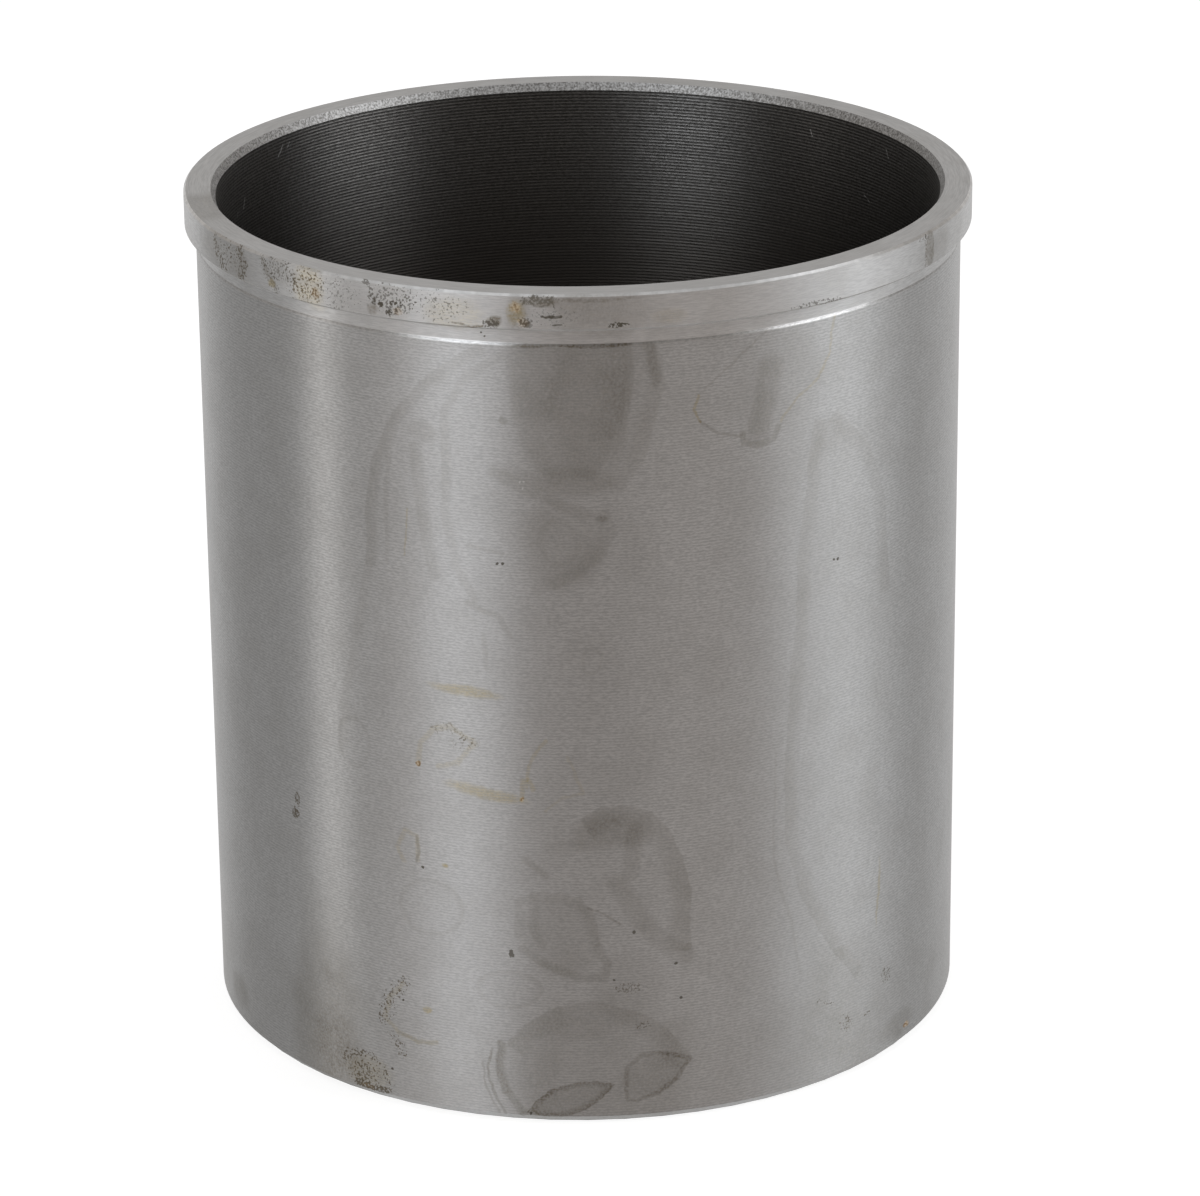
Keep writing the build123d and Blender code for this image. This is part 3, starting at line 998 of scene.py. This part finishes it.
# Painted shade: deep in the bore the colour blends into a darker, warmer grey
near_mouth = smooth_step(tree, height, 84 * MM, 114 * MM)
bored_finish["Colour"] = blend_colour(tree, near_mouth, grey(0.11, 0.08), bored_finish["Colour"])
round_the_axis(tree, shader, 0.68)
chips = Marks(tree, shader, bored_finish, old_film=0.05)
chips.stroke("Bare", [(-111.5, 114), (-112.6, 115.4)], 0.3, 0.7)
chips.stroke("Bare", [(-113.6, 114.8), (-114.2, 115.4)], 0.25, 0.5)
chips.stroke("Bare", [(-99.6, 109.2), (-100.2, 111)], 0.3, 0.6)
chips.stroke("Bare", [(-96.8, 108.6), (-97.2, 109.4)], 0.25, 0.5)
chips.stroke("Bare", [(125.6, 113.6), (126.2, 114.4)], 0.3, 0.6)
chips.stroke("Bare", [(108, 113.8), (108.6, 114.9)], 0.3, 0.6)
chips.stroke("Bare", [(112.6, 106), (114, 106.8)], 0.25, 0.5)
chips.lay()

# %% [markdown]
# ## The chamfer at the mouth
#
# This edge was cut last and roughly, and the torn iron shows bright grains among black pits.

# %% Torn iron
mouth, tree, mouth_shader = new_material("mouth_chamfer")
torn = space_noise(tree, 0.3, 3.0)
mouth_colour = blend_colour(tree, smooth_step(tree, torn, 0.30, 0.70), grey(0.19, 0.03), grey(0.55))
tree.links.new(mouth_colour, mouth_shader.inputs["Base Color"])
mouth_shader.inputs["Metallic"].default_value = 1.0
mouth_shader.inputs["Roughness"].default_value = 0.5
bump = node(tree, "Bump", {"Strength": 0.25, "Distance": 0.1 * MM, "Height": torn})
tree.links.new(bump.outputs[0], mouth_shader.inputs["Normal"])

for material in (ground_lower, ground_middle, ground_upper, rim, faced, bored, mouth):
    liner.data.materials.append(material)
print("finishes:", [material.name for material in liner.data.materials])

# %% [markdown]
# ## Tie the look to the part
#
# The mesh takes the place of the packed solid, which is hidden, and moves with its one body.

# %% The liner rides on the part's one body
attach(liner, "root")
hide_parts("cylinder_liner")
print("rides on the root body:", liner.name)

# %% [markdown]
# ## The camera
#
# A product picture is taken from some way off with a long lens, so that a round part keeps its
# form. The place, the angles and the lens were solved from the two rims and the outline of the
# part in its photograph.

# %% Camera
camera_data = bpy.data.cameras.new("camera")
camera_data.sensor_width = 36
camera_data.lens = 159.16
camera = bpy.data.objects.new("camera", camera_data)
camera.location = (0, -0.70128, 0.32008)
camera.rotation_euler = [math.radians(turn) for turn in (69.3901, 0.5413, -0.4046)]
bpy.context.scene.collection.objects.link(camera)
bpy.context.scene.camera = camera
print("camera, lens mm:", round(camera_data.lens, 2))

# %% [markdown]
# ## The studio
#
# Bare metal shows the room that it stands in, so the light is a ring of soft panels round a grey
# room. A turned wall mirrors one direction in each upright strip of it, so every band on the
# liner is a panel at some angle round it. The wall looks down at the low part of the room, and
# the bore looks up at the high part, so a panel has a strength for each. Two colour ramps hold
# the ring, which renders far faster than a lamp for each panel.

# %% The ring of panels
panels = {
    "left strip": {"middle": -82.5, "half": 5, "soft": 3, "low": 0.81, "high": 0.6, "warm": 0.03},
    "left box": {"middle": -35.5, "half": 11.5, "soft": 7, "low": 0.12, "high": 2.3, "warm": -0.05},
    "left core": {"middle": -44, "half": 9, "soft": 9, "low": 0, "high": 0.9, "warm": -0.02},
    "left glow": {"middle": -39, "half": 5, "soft": 9, "low": 0.115, "high": 0, "warm": -0.05},
    "left edge": {"middle": -59.5, "half": 9, "soft": 8, "low": 0.18, "high": 0, "warm": -0.01},
    "right fill": {"middle": 38, "half": 20, "soft": 12, "low": 0.105, "high": 0, "warm": 0.02},
    "right foot": {"middle": 94.5, "half": 15.5, "soft": 7, "low": 0.335, "high": 0, "warm": -0.01},
    "right box": {"middle": 78, "half": 17, "soft": 7, "low": 0, "high": 2.8, "warm": -0.02},
    "left side": {"middle": -112, "half": 28, "soft": 14, "low": 0, "high": 0.15, "warm": 0.0},
    "right side": {"middle": 128, "half": 14, "soft": 10, "low": 0.14, "high": 0.10, "warm": 0.0},
    "back": {"middle": 180, "half": 38, "soft": 20, "low": 0.34, "high": 0.45, "warm": 0.0},
}


def share_at(turn, panel):
    """How much of a panel lies at this angle round the liner: 1 inside, 0 outside, soft between."""
    off = abs((turn - panel["middle"] + 180) % 360 - 180)
    inside = (panel["half"] + panel["soft"] - off) / (2 * panel["soft"])
    inside = min(max(inside, 0), 1)
    return inside * inside * (3 - 2 * inside)


def ring_of_panels(tree, turn, part):
    """A colour ramp with stops at the edges of the panels that shine in this part of the room."""
    lit = [panel for panel in panels.values() if panel[part]]
    reaches = [(panel, panel["half"] + side * panel["soft"]) for panel in lit for side in (-1, 1)]
    edges = [panel["middle"] + way * reach for panel, reach in reaches for way in (-1, 1)]
    stops = sorted({(edge + 180) % 360 for edge in edges})
    made = node(tree, "ValToRGB", {"Fac": turn})
    made.color_ramp.interpolation = "EASE"
    elements = made.color_ramp.elements
    elements.remove(elements[0])
    elements[0].position = stops[0] / 360
    for stop in stops[1:]:
        elements.new(stop / 360)
    for element, stop in zip(elements, stops):
        colours = [grey(panel[part] * share_at(stop - 180, panel), panel["warm"]) for panel in lit]
        element.color = [sum(channel) for channel in zip(*colours)][:3] + [1.0]
    return made.outputs["Color"]


world = bpy.data.worlds.new("studio")
world.use_nodes = True
bpy.context.scene.world = world
tree = world.node_tree
direction = node(tree, "SeparateXYZ", {0: node(tree, "TexCoord").outputs["Generated"]}).outputs
towards_camera = maths(tree, "MULTIPLY", direction["Y"], -1.0)
turn = maths(tree, "ARCTAN2", direction["X"], towards_camera)
turn = maths(tree, "MULTIPLY_ADD", turn, 1 / math.tau, 0.5)
low_ring = ring_of_panels(tree, turn, "low")
high_ring = ring_of_panels(tree, turn, "high")
print("panels:", len(panels))

# %% [markdown]
# The room itself is grey, darker up high, and a little warm where it faces the liner's front. The
# panels fade towards the floor. Straight up is a pale ceiling and straight down a pale table.

# %% The room behind the panels
rise = smooth_step(tree, direction["Z"], -0.02, 0.2)
panel_light = blend_colour(tree, rise, low_ring, high_ring)
above_floor = smooth_step(tree, direction["Z"], -0.65, -0.2, 0.35, 1.0)
in_front = smooth_step(tree, towards_camera, 0.1, 0.7)
front_tone = (0.338, 0.305, 0.285, 1.0)
low_room = blend_colour(tree, in_front, grey(0.345, 0.01), front_tone)
room = blend_colour(tree, rise, low_room, grey(0.195, 0.13))
panels_and_room = {0: panel_light, 1: above_floor, 2: room}
light = node(tree, "VectorMath", panels_and_room, operation="MULTIPLY_ADD").outputs[0]
light = blend_colour(tree, smooth_step(tree, direction["Z"], 0.5, 0.8), light, grey(0.65))
light = blend_colour(tree, smooth_step(tree, direction["Z"], -0.6, -0.9), light, grey(0.70))
background = tree.nodes["Background"]
tree.links.new(light, background.inputs["Color"])
background.inputs["Strength"].default_value = 1.0
print("world nodes:", len(tree.nodes))

# %% [markdown]
# ## The floor
#
# The part stands on white paper that shows no edge. The paper shines a little by itself, so it
# stays white all round. Metal would mirror that glow, so the floor is hidden from reflections,
# and the room's pale table takes its place. Under the liner lies a plain disc, which keeps the
# glow out of the bore.

# %% Floor
floor_mesh = bmesh.new()
bmesh.ops.create_grid(floor_mesh, x_segments=1, y_segments=1, size=2.0)
floor = object_from("floor", floor_mesh)
floor.location.z = -0.1 * MM
floor.visible_glossy = False
floor.visible_shadow = False
paper, tree, shader = new_material("floor_paper")
shader.inputs["Base Color"].default_value = grey(0.4)
shader.inputs["Roughness"].default_value = 1.0
shader.inputs["Specular IOR Level"].default_value = 0.0
shader.inputs["Emission Color"].default_value = grey(1.0)
shader.inputs["Emission Strength"].default_value = 0.80
floor.data.materials.append(paper)
print("floor, m:", [round(side, 2) for side in floor.dimensions])

# %% Disc under the liner
pad_mesh = bmesh.new()
bmesh.ops.create_circle(pad_mesh, cap_ends=True, radius=body_radius - lead_in_chamfer, segments=64)
pad = object_from("floor_under", pad_mesh)
pad.location.z = -0.05 * MM
plain, tree, shader = new_material("floor_plain")
shader.inputs["Base Color"].default_value = grey(0.8)
shader.inputs["Roughness"].default_value = 1.0
pad.data.materials.append(plain)
print("disc radius, mm:", round(pad.dimensions.x / 2 / MM, 1))

# %% [markdown]
# ## The view
#
# The standard view keeps whites white.

# %% Finish
bpy.context.scene.view_settings.view_transform = "Standard"
